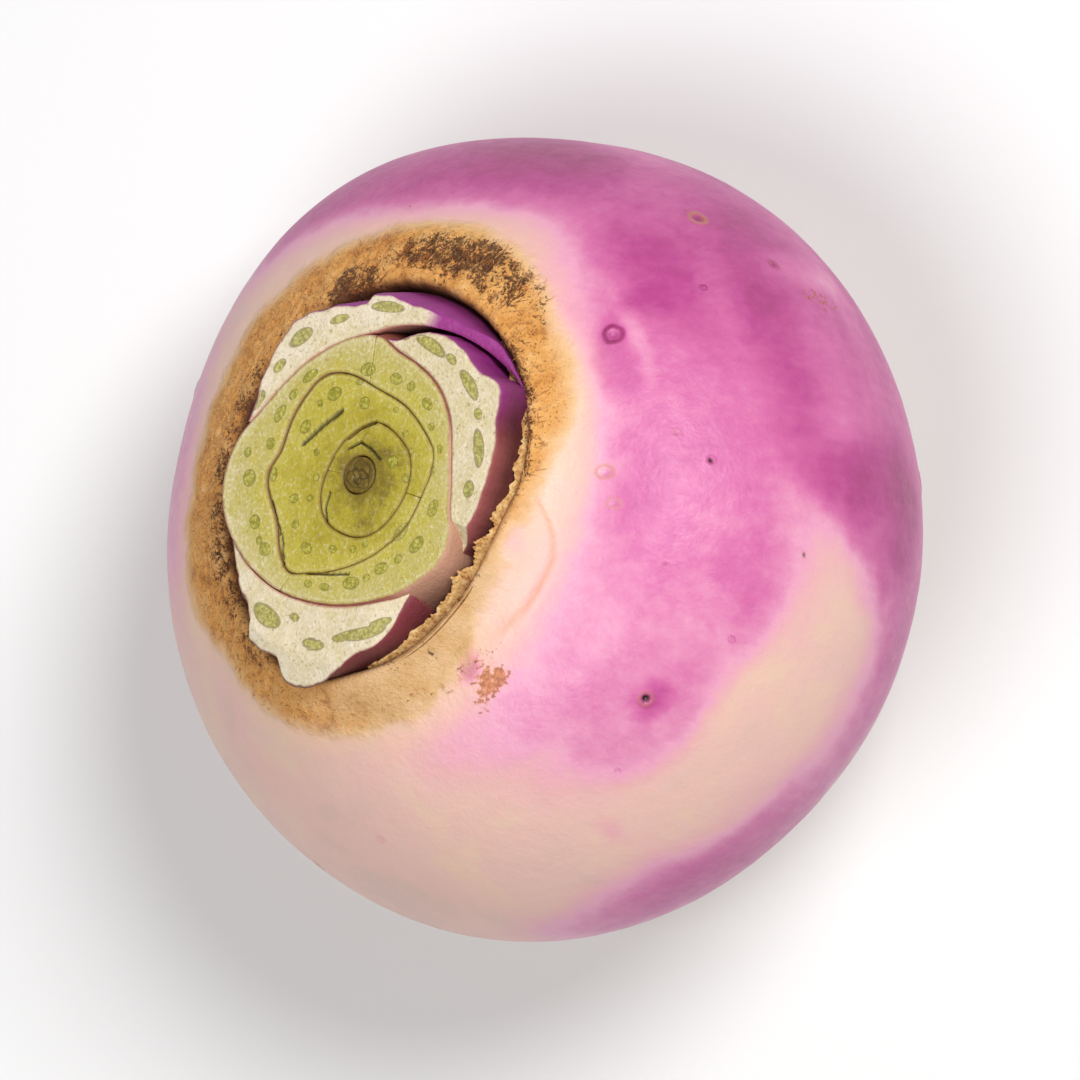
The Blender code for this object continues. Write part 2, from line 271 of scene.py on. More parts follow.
class Finish:
    """A procedural material, built up from one method that adds a node of any type."""

    def __init__(self, name, **constants):
        self.material = bpy.data.materials.new(name)
        self.material.use_nodes = True
        self.tree = self.material.node_tree
        self.shader = self.tree.nodes["Principled BSDF"]
        for socket, value in constants.items():
            self.shader.inputs[socket.replace("_", " ")].default_value = value

    def node(self, kind, settings=None, inputs=None, output=0):
        """Adds a node, sets it up, joins or fills its sockets and returns one output."""
        node = self.tree.nodes.new(kind)
        for setting, value in (settings or {}).items():
            setattr(node, setting, value)
        for socket, value in (inputs or {}).items():
            if isinstance(value, Flow):
                self.tree.links.new(value.socket, node.inputs[socket])
            else:
                node.inputs[socket].default_value = value
        return Flow(self, node.outputs[output])

    def math(self, operation, *values):
        """The result of a Math node's operation on the values."""
        return self.node("ShaderNodeMath", {"operation": operation}, dict(enumerate(values)))

    def clamp(self, value):
        """The value kept from 0 to 1."""
        return self.node("ShaderNodeClamp", {}, {0: value})

    def span(self, value, low, high):
        """0 below low, 1 above high and smooth between."""
        return self.node("ShaderNodeMapRange", {"interpolation_type": "SMOOTHSTEP"},
                         {0: value, 1: low, 2: high, 3: 0.0, 4: 1.0})

    def blend(self, share, first, second):
        """From the first colour to the second by a share from 0 to 1."""
        return self.node("ShaderNodeMix", {"data_type": "RGBA"}, {0: share, 6: first, 7: second},
                         output=2)

    def ramp(self, value, stops):
        """A colour ramp through (place, colour) stops."""
        node = self.tree.nodes.new("ShaderNodeValToRGB")
        ramp = node.color_ramp
        while len(ramp.elements) < len(stops):
            ramp.elements.new(1.0)
        for element, (place, colour) in zip(ramp.elements, stops):
            element.position = place
            element.color = colour
        self.tree.links.new(value.socket, node.inputs[0])
        return Flow(self, node.outputs[0])

    def mask(self, name):
        """The value of one of the piece's masks, from 0 to 1."""
        return self.node("ShaderNodeAttribute", {"attribute_name": name}, output=2)

    def crown_place(self, stretch=(1.0, 1.0, 1.0)):
        """Place on the piece in the crown frame, in millimetres over the stretch."""
        place, turn, size = REST.decompose()
        scale = [component * factor for component, factor in zip(size, stretch)]
        source = self.node("ShaderNodeTexCoord", {}, {}, output=3)
        return self.node("ShaderNodeMapping", {"vector_type": "TEXTURE"},
                         {0: source, 1: place, 2: turn.to_euler(), 3: scale})

    def cloud(self, place, size, detail=3.0, roughness=0.55, distortion=0.0):
        """Noise from 0 to 1 with grains of about that size in the place's unit."""
        return self.node("ShaderNodeTexNoise", {},
                         {"Vector": place, "Scale": 1.0 / size, "Detail": detail,
                          "Roughness": roughness, "Distortion": distortion})

    def cells(self, place, size):
        """Distance to the middle of the nearest cell, in cells of about that size."""
        return self.node("ShaderNodeTexVoronoi", {"feature": "F1"},
                         {"Vector": place, "Scale": 1.0 / size})

    def relief(self, height, strength=1.0):
        """A bump of a height in millimetres, into the shader's normal."""
        bump = self.node("ShaderNodeBump", {},
                         {"Strength": strength, "Distance": MM, "Height": height})
        self.feed("Normal", bump)

    def feed(self, socket, value):
        """Joins a value to one of the shader's sockets."""
        self.tree.links.new(value.socket, self.shader.inputs[socket])


# ---------------------------------------------------------------- the skin's marks
# Purple flushes: azimuth, polar angle, half widths in azimuth and polar angle, softness, strength
# Those round the widest section, at polar angles of about 85 to 110, are partly the skin's own deeper
# purple and partly painted shade where the skin turns down at the sides.
FLUSHES = (
    (76, 62, 44, 22, 0.5, 0.36), (30, 58, 42, 18, 0.3, 0.18), (-30, 106, 32, 13, 0.85, 0.5),
    (30, 108, 40, 15, 0.4, 0.6), (88, 100, 34, 16, 0.5, 0.45), (-45, 88, 16, 8, 0.9, 0.3),
    (-172, 52, 30, 14, 0.6, 0.2), (25, 47, 50, 7, 0.6, 0.14), (120, 64, 34, 20, 0.4, 0.74),
    (82, 66, 24, 16, 0.6, 0.44), (46, 80, 32, 12, 0.45, 0.52), (42, 66, 32, 12, 0.6, 0.22),
    (20, 93, 11, 15, 0.4, 0.62), (60, 92, 34, 12, 0.5, 0.42), (-6, 53, 42, 15, 0.28, 0.3),
    (36, 56, 34, 18, 0.5, 0.14), (-22, 57, 14, 10, 0.35, 0.22), (2, 70, 9, 8, 0.35, 0.16),
    (15, 42, 76, 7, 0.7, 0.2), (-170, 52, 24, 12, 0.6, 0.24), (142, 50, 10, 10, 0.6, 0.25),
    (-46, 94, 22, 12, 0.8, 0.45), (-110, 47, 14, 8, 0.6, 0.12), (62, 55, 12, 5, 0.6, 0.34),
    (160, 80, 26, 13, 0.5, 0.4), (-150, 84, 24, 12, 0.5, 0.22), (100, 92, 24, 12, 0.5, 0.5),
    (-44, 44, 20, 5, 0.6, 0.14), (44, 42.5, 8, 3, 0.6, 0.3), (52, 44, 3, 2, 0.8, 0.3),
    (-41, 35.5, 3.5, 1.8, 0.6, 0.8), (0, 31, 8, 1.4, 0.6, 0.35), (-20, 56.3, 3.2, 2.4, 0.9, 0.5),
    (22, 82, 5, 12, 0.5, 0.35), (-42, 70, 2, 3, 0.8, 0.3), (52, 70, 10, 4, 0.8, 0.3),
    (70, 78, 14, 4, 0.8, 0.3), (56, 50, 3, 4, 0.8, 0.4), (7, 58, 4, 2, 0.9, 0.2),
    (30, 68, 8, 4, 0.9, 0.2),
)
# Pale places in the flushes, in the same form
PALE_PLACES = (
    (88, 43, 22, 4, 0.7, 0.5), (50, 47.0, 10, 1.2, 0.8, 0.25), (40, 34, 60, 4, 0.5, 0.7),
    (-100, 60, 42, 30, 0.3, 0.7), (150, 40, 30, 10, 0.5, 0.8), (56, 86, 3, 10, 0.9, 0.25),
    (-60, 66, 22, 16, 0.4, 0.5), (-14, 80, 26, 11, 0.25, 0.6),
)
# How far the cork reaches out from the rim: azimuth and polar angle
CORK_REACH = ((0, 30.5), (25, 33), (45, 35.5), (62, 36.5), (80, 40), (105, 41), (130, 40),
              (160, 40), (185, 40), (220, 41.5), (240, 38), (270, 37), (300, 36.5), (325, 33),
              (345, 31.0))
# Where the corky rim is a smooth parchment instead: middle, half widths, softness, strength
PARCHMENT = ((-50, 31, 36, 7, 0.35, 1.0), (-16, 31, 16, 5, 0.5, 0.5))
# Sooty cracks and stains in the cork, in the form of the flushes
STAINS = (
    (165, 30.5, 30, 3.0, 0.7, 0.6), (-120, 30, 20, 2.5, 0.7, 0.5), (84, 37.0, 24, 3.0, 0.6, 0.7),
    (-30, 27.5, 9, 2.5, 0.8, 0.5), (30, 26.5, 30, 1.6, 0.8, 0.6), (30, 29.5, 30, 1.2, 0.8, 0.7),
    (92, 34.5, 22, 4.5, 0.6, 1.0), (122, 30, 12, 4, 0.6, 0.9), (-155, 31, 22, 4, 0.7, 0.55),
    (-27, 27, 10, 4, 0.7, 0.65), (-52, 30, 12, 4, 0.8, 0.45), (40, 27.5, 26, 2.2, 0.6, 0.5),
    (60, 30, 8, 5, 0.7, 0.4), (-165, 29, 30, 2.5, 0.7, 0.5), (5, 24.5, 30, 2.5, 0.6, 0.5),
    (-130, 33, 20, 4, 0.8, 0.35),
)
# Pits and little rings in the skin: azimuth, polar angle, ring radius, ring height, pit depth,
# how dark the pit is, how tan and how purple the ring is
PITS = (
    (-20, 56.3, 0.62, 0.10, 0.40, 1.0, 0.5, 0.2), (51, 43.5, 0.8, 0.03, 0.30, 0.1, 0.0, 0.8),
    (69, 69.5, 0.8, 0.05, 0.22, 0.3, 0.7, 0.2), (20, 39.4, 0.6, 0.02, 0.16, 0.0, 0.7, 0.1),
    (13, 41, 0.45, 0.02, 0.12, 0.0, 0.6, 0.0), (23, 54.3, 0.4, 0.04, 0.32, 1.0, 0.0, 0.4),
    (58, 78, 0.5, 0.05, 0.16, 0.4, 0.2, 0.4), (10.5, 72.5, 0.32, 0.03, 0.16, 0.7, 0.3, 0.0),
    (55, 61, 0.3, 0.03, 0.12, 0.2, 0.0, 0.5), (-79, 56.5, 0.4, 0.02, 0.05, 0.1, 0.0, 0.4),
    (3, 49.5, 0.3, 0.03, 0.10, 0.2, 0.2, 0.2), (-100, 75, 0.6, 0.06, 0.18, 0.5, 0.6, 0.0),
    (175, 62, 0.7, 0.12, 0.22, 0.4, 0.7, 0.1), (140, 84, 0.5, 0.05, 0.18, 0.6, 0.2, 0.4),
    (-140, 70, 0.8, 0.12, 0.2, 0.4, 0.8, 0.0), (110, 100, 0.7, 0.08, 0.18, 0.5, 0.6, 0.1),
    (30, 118, 0.8, 0.10, 0.2, 0.5, 0.7, 0.0), (-70, 112, 0.6, 0.06, 0.18, 0.6, 0.5, 0.0),
    (-160, 108, 0.7, 0.08, 0.2, 0.5, 0.7, 0.0), (28, 49.0, 0.3, 0.04, 0.08, 0.1, 0.4, 0.2),
    (-5, 64, 0.3, 0.03, 0.08, 0.2, 0.1, 0.3), (-33, 61, 0.25, 0.02, 0.08, 0.1, 0.0, 0.3),
)
# Tan scabs and scrapes: azimuth, polar angle, half widths, softness, strength
SCABS = (
    (50, 48, 7, 1.4, 0.8, 0.35), (-56, 36.3, 40, 0.7, 0.8, 0.5), (52, 84, 5, 6, 0.8, 0.35),
    (-38, 39.2, 4.5, 2.2, 0.7, 1.0), (-44, 40, 2.5, 1.6, 0.7, 0.7), (70, 70, 3, 2.0, 0.8, 0.5),
    (114, 46, 4, 1.5, 0.8, 0.4), (-62, 90, 1.2, 8, 0.8, 0.35), (52, 88, 1.5, 7, 0.8, 0.4),
    (172, 86, 5, 2.2, 0.6, 0.8), (-125, 98, 7, 2.5, 0.6, 0.8), (-118, 101, 3, 4.0, 0.6, 0.7),
    (95, 108, 2, 5, 0.7, 0.6), (10, 108, 3, 1.6, 0.7, 0.6), (-30, 120, 5, 2, 0.7, 0.6),
    (150, 104, 1.4, 6, 0.7, 0.5), (-170, 122, 6, 3, 0.6, 0.6),
)


GRAIN_SHARE = 0.6               # how far the cork's relief moves the grainy mask from 0.5


def painted(patches, azimuth, polar):
    """How strongly soft oval patches cover each place, from 0 to 1."""
    bare = np.ones_like(azimuth)
    for middle, height, wide, tall, softness, strength in patches:
        distance = np.hypot(turn_between(azimuth, middle) / wide, (polar - height) / tall)
        bare *= 1 - strength * smooth(1 + softness, 1 - softness, distance)
    return 1 - bare


def skin_masks(points):
    """Flush, cork, stain, scab, pit and ring masks at places on the undeformed root."""
    _, azimuth, polar = spherical(points)
    drift = grain(points, 11.0, 2, 3.0), grain(points, 11.0, 2, 9.0)
    fray = grain(points, 2.6, 3, 5.0)
    loose_azimuth = azimuth + 3.2 * drift[0] + 1.6 * fray
    loose_polar = polar + 1.8 * drift[1] + 1.1 * fray
    flush = painted(FLUSHES, loose_azimuth, loose_polar)
    flush *= 1 - painted(PALE_PLACES, loose_azimuth, loose_polar)
    reach = ring(CORK_REACH, azimuth) + 1.6 * fray + 0.8 * drift[0]
    cork = smooth(3.2, -3.6, polar - reach)
    halo = smooth(7.0, -2.0, polar - reach)
    stain = painted(STAINS, azimuth + 2.0 * fray, polar + 1.0 * fray)
    scab = painted(SCABS, azimuth + 2.2 * fray, polar + 1.6 * fray)
    pit, rings = np.zeros_like(azimuth), np.zeros_like(azimuth)
    for middle, height, size, _, _, dark, tan, purple in PITS:
        distance = pit_distance(points, middle, height)
        circle = smooth(0.42 * size, 0.0, np.abs(distance - size))
        pit = np.maximum(pit, dark * smooth(0.75 * size, 0.35 * size, distance))
        rings = np.maximum(rings, tan * circle)
        flush = np.clip(flush + 0.6 * purple * circle, 0, 1)
    return {"flush": flush, "cork": cork, "halo": halo, "stain": stain, "scab": scab,
            "pit": pit, "ring": rings,
            "flat": painted(PARCHMENT, azimuth + 2.0 * fray, polar + fray),
            "grainy": 0.5 + GRAIN_SHARE * cork_grain(points, azimuth, polar)}


def cork_grain(points, azimuth, polar):
    """Relief of the cork from about -1 to 1: fibres that point outwards, or along the rim."""
    outwards = grain(np.column_stack((azimuth * 0.42, polar * 0.1, azimuth * 0)), 1.3, 3, 61.0)
    sideways = grain(np.column_stack((azimuth * 0.09, polar * 0.5, azimuth * 0)), 0.9, 3, 63.0)
    along = smooth(5.0, 20.0, azimuth) * smooth(75.0, 60.0, azimuth)
    return 0.5 * (outwards * (1 - along) + sideways * along + grain(points, 0.55, 3, 65.0))


def on_skin(azimuth, polar):
    """The place on the plain ellipsoid at an azimuth and a polar angle."""
    turn, lean = math.radians(azimuth), math.radians(polar)
    radius = EQUATOR_RADIUS * math.sin(lean)
    return np.array((radius * math.cos(turn), radius * math.sin(turn),
                     CUT_HEIGHT * math.cos(lean)))


def pit_distance(points, azimuth, polar):
    """Distance of each place from the middle of a pit, slightly out of round."""
    offset = points - on_skin(azimuth, polar)
    distance = np.linalg.norm(offset, axis=1)
    return distance * (1 + 0.05 * np.sin(3 * np.arctan2(offset[:, 2], offset[:, 0]) + azimuth))


# ---------------------------------------------------------------- the root
def bent(points):
    """Moves places on the turned root to the real one: swellings and the uneven rim."""
    radius, azimuth, polar = spherical(points)
    swell = sum(size * np.cos(np.radians(waves * (azimuth - first)))
                for waves, size, first in SWELLINGS)
    factor = 1 + swell * smooth(0.2, 0.8, radius / EQUATOR_RADIUS)
    for middle, height, wide, tall, gain in SHOULDERS:
        away = np.hypot(turn_between(azimuth, middle) / wide, (polar - height) / tall)
        factor += gain * smooth(1.0, 0.0, away)
    reach = (1 - smooth(RIM_START, EQUATOR_RADIUS * 0.75, radius)) * (points[:, 2] > 0)
    factor *= 1 + reach * (ring(RIM_RADIUS, azimuth) / RIM_START - 1)
    lift = (ring(RIM_HEIGHT, azimuth) - RIM_LEVEL) * smooth(23.5, 17.5, radius)
    lift *= smooth(CROWN_FLOOR, 25.5, points[:, 2])
    return np.column_stack((points[:, 0] * factor, points[:, 1] * factor, points[:, 2] + lift))


def arc_profile(first, last, step):
    """(radius, height) of the skin's section between two polar angles in degrees."""
    count = max(2, round(abs(last - first) / step))
    section = []
    for index in range(count + 1):
        angle = math.radians(first + (last - first) * index / count)
        height = CUT_HEIGHT * math.cos(angle)
        if height < 0:
            height -= TAPER_DEPTH * abs(math.cos(angle)) ** 5
        section.append((EQUATOR_RADIUS * math.sin(angle), height))
    return section


LIP = ((18.1, 25.44), (17.8, 25.52), (17.5, 25.5), (17.25, 25.35), (17.08, 25.1), (16.98, 24.8),
       (16.94, 24.4), (16.92, 24.0), (16.9, CROWN_FLOOR))
TAIL = ((0.0, -33.05), (1.0, -33.1), (1.7, -33.15), (2.0, -33.0), (2.2, -32.6), (2.5, -32.2),
        (3.0, -31.7), (3.7, -31.2), (4.6, -30.8))


def relief_of_skin(points, masks):
    """How far the skin stands out from the plain root, in mm, away from the cork."""
    _, azimuth, polar = spherical(points)
    relief = 0.16 * grain(points, 15.0, 2, 21.0) + 0.035 * grain(points, 3.2, 3, 31.0)
    relief += 0.05 * masks["scab"] * (0.6 + grain(points, 0.9, 3, 41.0))
    for middle, height, size, high, deep, *_ in PITS:
        distance = pit_distance(points, middle, height)
        relief += high * smooth(0.55 * size, 0.0, np.abs(distance - size))
        relief -= deep * smooth(0.7 * size, 0.1 * size, distance)
    # the sunken bruise beside the rim, and the old leaf scar that curves round it
    relief -= 0.75 * painted(((-42, 29.5, 24, 5.0, 0.5, 1.0),), azimuth, polar)
    scar = leaf_scar(azimuth, polar)
    relief += 0.14 * scar + 0.28 * smooth(7.0, 1.0, np.hypot(azimuth / 3.6, polar - 31.5))
    # wrinkles round the tap root and its two rows of side-root scars
    near_tail = smooth(150.0, 168.0, polar)
    relief += 0.10 * near_tail * np.sin(polar * 2.3 + 2.0 * grain(points, 2.0, 2, 51.0))
    for row in (70.0, 250.0):
        groove = smooth(4.0, 0.0, np.abs(turn_between(azimuth, row)) * np.sin(np.radians(polar)))
        relief -= 0.16 * groove * smooth(112.0, 135.0, polar)
    return relief


def leaf_scar(azimuth, polar):
    """The thin line left by an old leaf: an arc from the rim, round and back to it."""
    line = 36.8 - np.where(azimuth > -8, 0.0125, 0.002) * (azimuth + 8) ** 2
    along = smooth(-34.0, -22.0, azimuth) * smooth(18.0, 12.0, azimuth)
    return along * smooth(0.55, 0.0, np.abs(polar - line))


def root_skin(finish):
    """The skin of the whole root, down into the dished crown and over the cut tap root."""
    steps = 372
    step = 0.92
    profile = list(TAIL) + arc_profile(172.0, 40.0, step)[1:] + arc_profile(40.0, 30.6, 0.55)[1:]
    profile += list(LIP) + [(12.0, CROWN_FLOOR), (6.0, CROWN_FLOOR), (0.0, CROWN_FLOOR)]
    mesh = turned(profile, steps)
    plain = coordinates(mesh)
    near = np.zeros(len(plain), bool)
    for azimuth, polar, size, *_ in PITS:
        near |= np.linalg.norm(plain - on_skin(azimuth, polar), axis=1) < 1.9 * size + 0.5
    mesh.verts.index_update()
    close = [edge for edge in mesh.edges if near[edge.verts[0].index]]
    bmesh.ops.subdivide_edges(mesh, edges=close, cuts=2, use_grid_fill=True)
    plain = coordinates(mesh)
    masks = skin_masks(plain)
    masks["scar"] = leaf_scar(*spherical(plain)[1:])
    real = bent(plain)
    facing = outward(mesh, real)
    on_the_outside = smooth(CROWN_FLOOR + 0.1, CROWN_FLOOR + 1.5, plain[:, 2])
    on_the_outside[plain[:, 2] < CROWN_FLOOR - 2] = 1.0
    on_the_outside[np.hypot(plain[:, 0], plain[:, 1]) > RIM_START] = 1.0
    relief = relief_of_skin(plain, masks) * on_the_outside
    real = real + facing * relief[:, None]
    level = resting_height(real)
    real = real + np.outer(np.maximum(0.0, -level), DOWN * -1.0)
    # painted shade inside the rim, down to the crown floor
    masks["hollow_shade"] = hollow_shade_mask(plain)
    move_to(mesh, real)
    return finished("root_skin", mesh, masks, finish, ["turnip_root"])


TO_REST = np.array(REST.to_3x3()) / MM
DOWN = -np.array(REST.to_3x3().transposed() @ Vector((0, 0, 1))) / MM


def resting_height(points):
    """Height of each place above the surface that the root rests on, in mm."""
    return points @ TO_REST[2] + REST.translation.z / MM


def hollow_shade_mask(points):
    """Painted shade: darker inside the rim, down to the crown floor."""
    radius = np.hypot(points[:, 0], points[:, 1])
    return smooth(18.0, 16.9, radius) * smooth(0.0, 1.0, points[:, 2])


# ---------------------------------------------------------------- the leaf bases
# Leaf bases: node, inner ring, outer ring, first and last azimuth, spread of the inner and outer
# wall at the foot, heights of the cut as (azimuth, height), how green the flesh is at the inner
# and the outer margin, hue of the outer wall (0 pink, 0.5 maroon, 1 purple), raggedness in mm
LEAF_BASES = (
    ("innermost_leaf_base", HEART_EDGE, INNERMOST_EDGE, 186.6, 546.2, 0.0, 0.1,
     ((186.6, 29.22), (546.2, 29.26)), 1.0, 0.84, 0.1, 0.03),
    ("inner_leaf_base", INNERMOST_EDGE, INNER_EDGE, 0.2, 359.8, 0.1, 0.3,
     ((0.2, 29.3), (180, 29.2), (359.8, 29.3)), 0.84, 0.62, 0.1, 0.04),
    ("middle_leaf_base_left", INNER_EDGE, MIDDLE_EDGE, 104.3, 251.1, 0.3, 0.6,
     ((104.3, 29.35), (251.1, 29.35)), 0.58, 0.34, 0.2, 0.06),
    ("middle_leaf_base_right", INNER_EDGE, MIDDLE_EDGE, -108.6, 104, 0.3, 1.4,
     ((-108.6, 29.4), (104, 29.4)), 0.62, 0.42, 0.15, 0.05),
    ("outer_leaf_base_upper", UPPER_LEAF_INNER, UPPER_LEAF_OUTER, 45, 174, 0.6, None,
     ((45, 26.0), (62, 26.8), (76, 28.2), (86, 29.2), (174, 29.2)), 0.16, 0.05, 1.0, 0.26),
    ("outer_leaf_base_right", MIDDLE_EDGE, RIGHT_LEAF_OUTER, -30, 98, 0.6, 0.6,
     ((-30, 26.6), (-12, 27.8), (-5, 29.25), (98, 29.35)), 0.20, 0.16, 0.5, 0.24),
    ("outer_leaf_base_lower", MIDDLE_EDGE, LOWER_LEAF_OUTER, 219, 318, 0.6, None,
     ((219, 29.0), (235, 29.25), (300, 29.2), (318, 28.6)), 0.18, 0.10, 0.55, 0.36),
)
# Cut vein bundles on the leaf bases: x, y, half length round the crown, half width across it
BUNDLES = (
    (-5.4, 6.2, 0.7, 0.5), (-7.3, 2.6, 0.6, 0.45), (-2.7, 9.2, 0.75, 0.55), (0.6, 9.2, 0.6, 0.45),
    (2.4, 9.0, 0.4, 0.4), (4.7, 8.0, 0.6, 0.4), (9.0, -0.5, 0.7, 0.45), (8.6, -4.0, 0.8, 0.5),
    (5.8, -7.0, 0.65, 0.45), (3.2, -9.1, 0.8, 0.5), (0.6, -10.2, 0.5, 0.3), (-8.5, 7.0, 0.8, 0.4),
    (-10.3, 3.0, 0.8, 0.4), (-11.2, -3.3, 0.7, 0.6), (-9.0, -6.8, 0.6, 0.5), (-7.0, -8.8, 0.6, 0.5),
    (-11.0, 10.0, 1.2, 0.6), (-3.0, 15.0, 1.6, 0.45), (-13.2, 3.5, 0.9, 0.5), (0.0, 13.0, 0.4, 0.3),
    (3.0, 13.0, 1.7, 0.5), (8.3, 10.8, 1.5, 0.5), (11.5, 5.8, 1.6, 0.5), (11.9, 2.1, 0.7, 0.5),
    (-4.5, -14.3, 1.5, 0.75), (1.3, -15.3, 1.1, 0.45), (6.0, -13.0, 2.2, 0.5),
    (7.5, -11.5, 1.0, 0.35), (-1.9, 6.3, 0.5, 0.5), (3.4, 4.9, 0.3, 0.3), (4.6, 3.6, 0.3, 0.3),
    (5.0, 1.2, 0.4, 0.3), (-2.8, -7.5, 0.6, 0.4), (0.0, -6.8, 0.4, 0.3), (-4.3, -1.3, 0.3, 0.3),
    (-4.2, -3.2, 0.3, 0.3), (-5.9, -3.7, 0.4, 0.4), (-5.2, 0.8, 0.3, 0.3), (-4.8, -5.8, 0.35, 0.35),
    (2.1, -6.2, 0.3, 0.3), (3.2, -5.4, 0.3, 0.3), (-8.9, -2.3, 0.6, 0.35), (6.5, -3.4, 0.9, 0.5),
    (3.1, 2.2, 0.55, 0.5), (7.6, 4.6, 0.35, 0.3), (7.6, 2.6, 0.4, 0.3), (-10.2, 0.2, 0.5, 0.4),
    (-9.6, 5.0, 0.5, 0.35), (-12.3, -1.2, 0.4, 0.35), (-7.9, -8.2, 0.35, 0.3),
    (7.2, -5.7, 0.4, 0.35), (4.6, -8.2, 0.35, 0.3), (-1.2, -10.4, 0.4, 0.3), (-12.2, 7.0, 0.7, 0.4),
    (-7.6, 12.6, 0.9, 0.35), (5.6, 12.4, 0.6, 0.35), (10.2, 8.6, 0.5, 0.35),
    (-1.6, -13.6, 0.5, 0.3), (3.8, -14.0, 0.7, 0.3), (-3.2, 7.9, 0.4, 0.25), (1.6, 6.6, 0.3, 0.22),
    (-6.6, 5.0, 0.3, 0.25), (5.9, 6.2, 0.35, 0.3),
)
# Dark slits in the cut flesh, as corners (x, y)
SLITS = (
    (0.20, ((-7.0, 1.1), (-5.6, 3.2), (-4.1, 5.0))),
    (0.13, ((-0.1, 5.0), (-1.4, 4.1), (-2.3, 2.9))),
    (0.13, ((-2.4, -2.2), (-2.3, -3.6), (-1.7, -4.7))),
    (0.10, ((-8.2, -4.6), (-5.9, -7.2), (-4.6, -9.6))),
    (0.10, ((-1.8, -9.6), (0.6, -9.0), (2.6, -8.4))),
    (0.12, ((-2.0, 2.0), (-1.0, 2.9), (0.4, 2.6), (1.6, 2.0))),
)
# Share of the full thickness left at a leaf base's two ends, and the degrees of its thinning
OUTER_TIP, INNER_TIP = (0.12, 20.0), (0.97, 3.0)
LEAF_FOOT = CROWN_FLOOR + 0.1   # height at which the leaf bases and the heart bud stand
CUT_LEVEL = 1.0                 # the level of the cut on a leaf base's section
SECTION_START = 10.0            # where a leaf base's section stands before it is bent


def leaf_section():
    """Closed (share across, level) loop of a leaf base: outer wall, cut face, inner wall."""
    walls, across = 14, 26
    outer = [(1.0, level / walls) for level in range(walls)]
    cut = [(1.0 - share / across, CUT_LEVEL) for share in range(across + 1)]
    inner = [(0.0, 1.0 - level / 6) for level in range(1, 7)]
    return outer + cut + inner


def slit_cover(places):
    """How dark the slits make each place, from 0 to 1."""
    dark = np.zeros(len(places))
    for width, corners in SLITS:
        for start, end in zip(corners, corners[1:]):
            start, end = np.array(start), np.array(end)
            along = np.clip((places - start) @ (end - start) / np.sum((end - start) ** 2), 0, 1)
            gap = np.linalg.norm(places - start - along[:, None] * (end - start), axis=1)
            dark = np.maximum(dark, smooth(1.5 * width, 0.4 * width, gap))
    return dark


def bundle_cover(places):
    """How far each place lies inside a vein bundle, from 0 to 1."""
    cover = np.zeros(len(places))
    for x, y, long, wide in BUNDLES:
        turn = math.atan2(y, x)
        offset = places - np.array((x, y))
        round_the_crown = offset @ np.array((-math.sin(turn), math.cos(turn)))
        across = offset @ np.array((math.cos(turn), math.sin(turn)))
        across = across + 0.5 * round_the_crown ** 2 / max(4.0, math.hypot(x, y))
        distance = np.hypot(round_the_crown / long, across / wide)
        cover = np.maximum(cover, smooth(1.35, 0.75, distance))
    return cover


